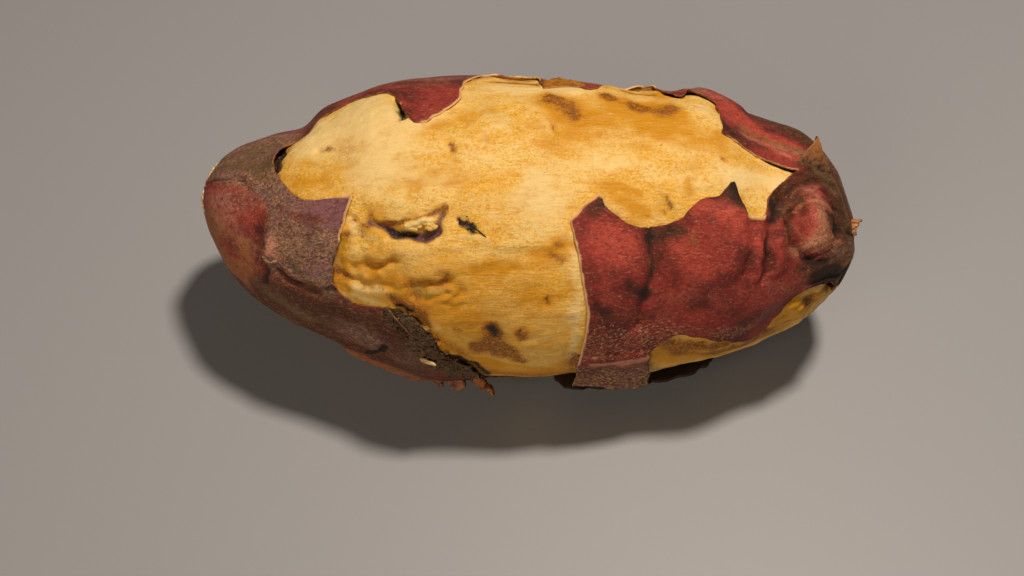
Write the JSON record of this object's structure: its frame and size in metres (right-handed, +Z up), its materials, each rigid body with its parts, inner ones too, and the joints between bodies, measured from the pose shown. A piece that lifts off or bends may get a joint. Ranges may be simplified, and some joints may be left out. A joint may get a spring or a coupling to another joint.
{
  "type": "roasted sweet potato",
  "caption": "Whole roasted sweet potato lying on its side, its red skin torn open over the front and top to bare the soft yellow flesh.",
  "frame": {"origin": "middle of the overall box in plan, at the level of the flat spot it rests on", "axes": "+X along the potato from the stem end to the root end, -Y toward the torn open front, +Z up"},
  "size_m": [0.1432, 0.0696, 0.062],
  "materials": {
    "skin": "dry matt roasted skin, crimson to dusty brown",
    "flesh": "soft moist baked flesh, pale yellow with amber and brown spots"
  },
  "bodies": {
    "root": {"sweet_potato": "skin"}
  },
  "joints": []
}
